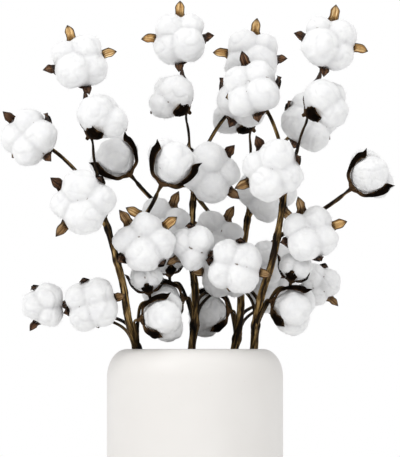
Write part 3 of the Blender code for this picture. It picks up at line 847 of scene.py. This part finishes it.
def add_valve(shape, place, around, flare, broad, seed):
    """One pointed valve; its points carry how far along and across it they are, and how open it is."""
    line = valve_line(place[1], flare)
    short = flare > SHORT
    opened = SHORT_OPENED if short else clamped((flare - OPENED_FROM) / OPENED_OVER)
    hug = SHORT_HUG if short else VALVE_HUG + OPENED_HUG * opened
    row = 2 * VALVE_ACROSS
    vertices, valve, fibre = [], [], []
    for step in range(VALVE_STEPS + 1):
        share = step / VALVE_STEPS
        half = valve_half_width(share, flare, broad) * place[1]
        half *= 1 + VALVE_WAVER * noise.noise(Vector((share * WAVER_CELLS, seed, 0)))
        vertices += valve_ring(place, around, line, share, half, hug, seed)
        for across in map(valve_across, range(row)):
            valve.append((share, abs(across), opened))
            fibre.append((across * FIBRE_SCALE[0], share * FIBRE_SCALE[1], seed))
    faces = tube_faces(VALVE_STEPS + 1, row)
    slots = [HUSK, HUSK] + ([HUSK] * VALVE_ACROSS + [LINING] * VALVE_ACROSS) * VALVE_STEPS
    flip_if_inside_out(place, faces)
    shape.add(vertices, faces, slots, valve=valve, fibre=fibre)


def add_cup(shape, place, valves, seed):
    """The cup that holds the valves: it widens from the stalk, with a low lobe under each valve."""
    radius = place[1]
    vertices = []
    for height, width in CUP_PROFILE:
        for step in range(CUP_SIDES):
            around = math.tau * step / CUP_SIDES
            lobe = 1 + CUP_LOBE * math.cos(valves * around) * min(1.0, width / FULL_LOBE)
            cell = Vector((math.cos(around) * CUP_CELLS, math.sin(around) * CUP_CELLS, seed + height))
            lobe += CUP_WAVER * noise.noise(cell)
            forward = -radius * COTTON_BACK - GAP + height * CUP_DEPTH
            vertices.append(boll_point(place, around, width * radius * lobe, forward))
    faces = tube_faces(len(CUP_PROFILE), CUP_SIDES)
    flip_if_inside_out(place, faces)
    paint = [CUP_PAINT] * len(vertices)
    shape.add(vertices, faces, HUSK, valve=paint, fibre=paint)


def flip_if_inside_out(place, faces):
    """Turns the faces round on a mirrored stem, whose bolls' axes are left-handed."""
    face, up, side = place[2]
    if up.cross(side).dot(face) < 0:
        faces[:] = [face[::-1] for face in faces]


def build_stem(stem, bolls, bark):
    """One stem's wood: its main stem and its twigs."""
    shape = Shape("grain", "dark")
    add_main_stem(shape, stem, bolls)
    for index, boll in enumerate(bolls):
        if boll["twig"]:
            add_twig(shape, stem, boll, 10 * stem["number"] + index)
    return add_piece("branches_%d" % stem["number"], shape.vertices, shape.faces, [bark],
                     attributes=shape.attributes)


def build_burrs(stem, bolls, husk, lining):
    """One stem's burrs, each a cup with its valves."""
    shape = Shape("valve", "fibre")
    for index, boll in enumerate(bolls):
        place = boll_frame(stem, boll)
        seed = 100 * stem["number"] + 10 * index
        add_cup(shape, place, len(boll["flare"]), seed)
        broad = SIDE_BREADTH if abs(boll["face"][2]) < SIDE_FACING else FRONT_BREADTH
        for number, flare in enumerate(boll["flare"]):
            add_valve(shape, place, math.tau * number / len(boll["flare"]), flare, broad, seed + number)
    return add_piece("burrs_%d" % stem["number"], shape.vertices, shape.faces, [husk, lining],
                     shape.slots, shape.attributes)


# ---- vase ---------------------------------------------------------------------------------------------

VASE_TURNS = 144
FOOT_RING = 5 * MM             # how wide the foot's ring is above the cove along its inner side
FOOT_HOLLOW = 1.2 * MM
COVE = 1 * MM
MIDDLE = 2 * MM                # the radius of the flat face that closes the foot, and the floor
INNER_FROM = 70                # degrees: where the inside of the shoulder begins under the rim


def arc(centre, radii, start, end, steps):
    """Points of an elliptical arc in the (radius, height) plane, angles in degrees from +radius."""
    angles = [math.radians(start + (end - start) * step / steps) for step in range(steps + 1)]
    return [(centre[0] + radii[0] * math.cos(a), centre[1] + radii[1] * math.sin(a)) for a in angles]


def straight(start, end, steps):
    """Points between two points of the outline, without its ends."""
    shares = [step / steps for step in range(1, steps)]
    return [(start[0] + (end[0] - start[0]) * s, start[1] + (end[1] - start[1]) * s) for s in shares]


def vase_profile():
    """The wall's outline from the middle of the foot's hollow, up the outside and down the inside."""
    shoulder = (VASE_RADIUS - SHOULDER_IN, VASE_HEIGHT - SHOULDER_DROP)
    inner_floor = VASE_RADIUS - VASE_WALL - FOOT_ROUND
    foot = (VASE_RADIUS - FOOT_ROUND, FOOT_ROUND)
    ring_in = foot[0] - FOOT_RING
    outline = [(MIDDLE, FOOT_HOLLOW), (ring_in / 2, FOOT_HOLLOW), (ring_in - 2 * COVE, FOOT_HOLLOW)]
    outline += arc((ring_in - COVE, COVE), (COVE, COVE), 0, -90, 4)
    outline += [(foot[0] - 2 * MM, 0)]
    outline += arc(foot, (FOOT_ROUND, FOOT_ROUND), -90, 0, 10)
    outline += straight((VASE_RADIUS, FOOT_ROUND), (VASE_RADIUS, shoulder[1]), 24)
    outline += arc(shoulder, (SHOULDER_IN, SHOULDER_DROP), 0, 90, 24)
    rim_round = (shoulder[0] - RIM_WIDTH, VASE_HEIGHT - VASE_WALL / 2)
    outline += arc(rim_round, (VASE_WALL / 2, VASE_WALL / 2), 90, 270, 12)
    inner_in = (SHOULDER_IN - VASE_WALL, SHOULDER_DROP - VASE_WALL)
    outline += arc(shoulder, inner_in, INNER_FROM, 0, 12)
    low = VASE_FLOOR + FOOT_ROUND
    outline += straight((shoulder[0] + inner_in[0], shoulder[1]), (VASE_RADIUS - VASE_WALL, low), 12)
    outline += arc((inner_floor, low), (FOOT_ROUND, FOOT_ROUND), 0, -90, 6)
    outline += [(inner_floor / 2, VASE_FLOOR), (MIDDLE, VASE_FLOOR)]
    return outline


def build_vase(glaze):
    """The vase, turned from its outline."""
    profile = vase_profile()
    turns = [math.tau * step / VASE_TURNS for step in range(VASE_TURNS)]
    vertices = [(r * math.cos(t), r * math.sin(t), z) for r, z in profile for t in turns]
    return add_piece("glazed_vase", vertices, tube_faces(len(profile), VASE_TURNS), [glaze])


# ---- studio -------------------------------------------------------------------------------------------

LENS = 300
SENSOR = 36
LONG_SIDE = 457 * MM           # what the picture's long side spans at the bunch
AIM = Vector((5 * MM, 0, 310.5 * MM))
CAMERA_HEIGHT = VASE_HEIGHT + 4 * MM
FLOOR_REACH = 2.3
SURROUND = 0.8                 # how strongly the white surround lights the bunch; to the camera it is 1


def aim(made, place):
    """Puts a camera or a lamp at a place and turns it to the bunch."""
    made.location = place
    made.rotation_euler = (AIM - made.location).to_track_quat("-Z", "Y").to_euler()


def add_camera():
    """A long lens at the height of the vase's rim, which shows the rim edge on."""
    data = bpy.data.cameras.new("camera")
    data.lens = LENS
    data.sensor_width = SENSOR
    data.clip_end = 50
    camera = add_object("camera", data)
    aim(camera, (AIM.x, AIM.y - LENS * LONG_SIDE / SENSOR, CAMERA_HEIGHT))
    bpy.context.scene.camera = camera


def add_light(name, place, size, power):
    """A square soft lamp, its size in metres and its power in watts."""
    data = bpy.data.lights.new(name, "AREA")
    data.size = size
    data.energy = power
    aim(add_object(name, data), place)


def add_studio(material):
    """A pale floor, a white surround and soft lamps, the key from the front left."""
    mesh = bpy.data.meshes.new("floor")
    corners = [(x * FLOOR_REACH, y * FLOOR_REACH, 0) for x, y in ((-1, -1), (1, -1), (1, 1), (-1, 1))]
    mesh.from_pydata(corners, [], [(0, 1, 2, 3)])
    mesh.materials.append(material)
    add_object("floor", mesh)
    world = bpy.data.worlds.new("surround")
    world.use_nodes = True
    tree = world.node_tree
    seen = add_node(tree, "LightPath").outputs["Is Camera Ray"]
    strength = add_node(tree, "MapRange", {"Value": seen, "To Min": SURROUND}).outputs["Result"]
    tree.links.new(strength, tree.nodes["Background"].inputs["Strength"])
    tree.nodes["Background"].inputs["Color"].default_value = (*WHITE, 1.0)
    bpy.context.scene.world = world
    bpy.context.scene.view_settings.view_transform = "Standard"
    add_light("key", (-1.8, -1.7, 2.0), 1.7, 25)
    add_light("fill", (0.5, -2.4, 0.45), 1.6, 5)
    add_light("top", (0.2, -0.9, 2.3), 1.6, 11)


def hand_over(piece, node=None):
    """Fixes a piece to the part's one body and in place of a node of the model."""
    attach(piece, "root")
    if node:
        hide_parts(node)


def main():
    cotton, bark = cotton_material(), bark_material()
    husk, lining = husk_material(), lining_material()
    hand_over(build_vase(glaze_material()), "vase")
    ball = unit_ball()
    for stem in STEMS:
        bolls = bolls_of(stem)
        hand_over(build_stem(stem, bolls, bark), "stem_%d" % stem["number"])
        hand_over(build_burrs(stem, bolls, husk, lining))
        for index, boll in enumerate(bolls):
            name = "%d_%02d" % (stem["number"], index + 1)
            locks = build_cotton("locks_" + name, stem, index, boll, ball, cotton)
            hand_over(locks, "cotton_" + name)
    add_studio(floor_material())
    add_camera()


main()
